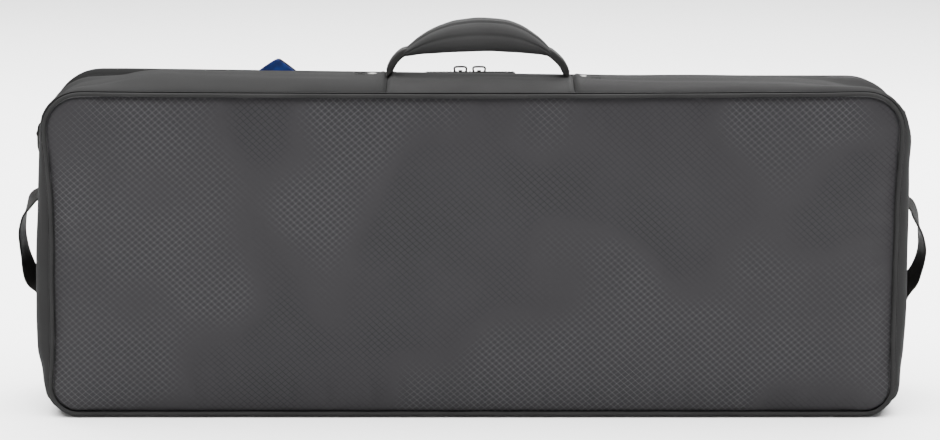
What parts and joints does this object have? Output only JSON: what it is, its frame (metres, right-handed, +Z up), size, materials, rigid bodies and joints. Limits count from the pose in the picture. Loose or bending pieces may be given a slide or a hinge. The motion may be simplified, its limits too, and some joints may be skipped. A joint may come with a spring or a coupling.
{
  "type": "padded instrument gig bag",
  "caption": "Padded rectangular keyboard bag with a zipped hinged lid, padded carry handle, side handles and shoulder-strap rings.",
  "frame": {"origin": "centre of the footprint, on the surface the bag stands on", "axes": "+X along the bag's width, -Y towards the near face, +Z up"},
  "size_m": [0.92, 0.15, 0.4],
  "materials": {
    "ripstop": "satin",
    "gusset_nylon": "matte",
    "piping": "satin",
    "webbing": "matte",
    "grip_cover": "matte",
    "lining": "matte",
    "foam": "matte",
    "zip_tape": "matte",
    "zip_coil": "satin",
    "dark_metal": "satin",
    "steel": "satin",
    "blue_ribbon": "satin",
    "hook_pad": "matte"
  },
  "bodies": {
    "shell": {"near_panel": "ripstop", "near_foam": "foam", "near_lining": "lining", "near_piping": "piping", "gusset_left": "gusset_nylon", "gusset_centre": "gusset_nylon", "gusset_right": "gusset_nylon", "gusset_bottom": "gusset_nylon", "body_foam_top": "foam", "body_foam_left": "foam", "body_foam_right": "foam", "body_foam_bottom": "foam", "body_foam_upper_corners": "foam", "body_foam_lower_corners": "foam", "body_lining": "lining", "zip_tape_body": "zip_tape", "zip_coil_body": "zip_coil", "zip_end_stops": "dark_metal", "handle_roots": "webbing", "handle_rivet_caps": "steel", "handle_rivet_washers": "steel", "side_handle_roots_left": "webbing", "side_handle_roots_right": "webbing", "ring_tab_left": "webbing", "ring_tab_right": "webbing", "hinge_strip": "webbing", "hold_down_strap_left": "webbing", "hold_down_strap_right": "webbing", "hold_down_pad_left": "hook_pad", "hold_down_pad_right": "hook_pad"},
    "lid": {"far_panel": "ripstop", "far_foam": "foam", "far_lining": "lining", "far_piping": "piping", "lid_gusset": "gusset_nylon", "lid_foam_top": "foam", "lid_foam_left": "foam", "lid_foam_right": "foam", "lid_foam_upper_corners": "foam", "lid_foam_lower_corners": "foam", "lid_lining": "lining", "zip_tape_lid": "zip_tape", "zip_coil_lid": "zip_coil", "zip_garage_strip": "webbing", "tag_loop": "blue_ribbon"},
    "carry_handle": {"handle_strap": "webbing", "handle_grip_foam": "foam", "handle_grip_cover": "grip_cover"},
    "left_side_handle": {"side_handle_left": "webbing"},
    "right_side_handle": {"side_handle_right": "webbing"},
    "left_slider": {"zip_slider_left": "dark_metal"},
    "right_slider": {"zip_slider_right": "dark_metal"},
    "left_pull": {"pull_ring_left": "dark_metal"},
    "right_pull": {"pull_ring_right": "dark_metal"},
    "left_d_ring": {"d_ring_left": "dark_metal"},
    "right_d_ring": {"d_ring_right": "dark_metal"}
  },
  "joints": [
    {"name": "lid_hinge", "type": "hinge", "parent": "shell", "child": "lid", "pos_m": [0, 0.075, 0], "axis": [-1, 0, 0], "range_deg": [0, 90]},
    {"name": "carry_handle_tilt", "type": "hinge", "parent": "shell", "child": "carry_handle", "pos_m": [0, -0.015, 0.35], "axis": [1, 0, 0], "range_deg": [-35, 55]},
    {"name": "left_side_handle_swing", "type": "hinge", "parent": "shell", "child": "left_side_handle", "pos_m": [-0.446, -0.008, 0.169], "axis": [0, 0, 1], "range_deg": [-35, 35]},
    {"name": "right_side_handle_swing", "type": "hinge", "parent": "shell", "child": "right_side_handle", "pos_m": [0.446, -0.008, 0.169], "axis": [0, 0, 1], "range_deg": [-35, 35]},
    {"name": "left_slider_run", "type": "slide", "parent": "shell", "child": "left_slider", "axis": [-1, 0, 0], "range_m": [0, 0.36]},
    {"name": "right_slider_run", "type": "slide", "parent": "shell", "child": "right_slider", "axis": [1, 0, 0], "range_m": [0, 0.365]},
    {"name": "left_pull_flip", "type": "hinge", "parent": "left_slider", "child": "left_pull", "pos_m": [-0.0129, 0.0323, 0.3377], "axis": [1, 0, 0], "range_deg": [0, 135]},
    {"name": "right_pull_flip", "type": "hinge", "parent": "right_slider", "child": "right_pull", "pos_m": [0.0064, 0.0323, 0.3377], "axis": [1, 0, 0], "range_deg": [0, 135]},
    {"name": "left_d_ring_swing", "type": "hinge", "parent": "shell", "child": "left_d_ring", "pos_m": [-0.4428, 0.006, 0.28], "axis": [0, 1, 0], "range_deg": [0, 110]},
    {"name": "right_d_ring_swing", "type": "hinge", "parent": "shell", "child": "right_d_ring", "pos_m": [0.4428, 0.006, 0.28], "axis": [0, -1, 0], "range_deg": [0, 110]}
  ]
}
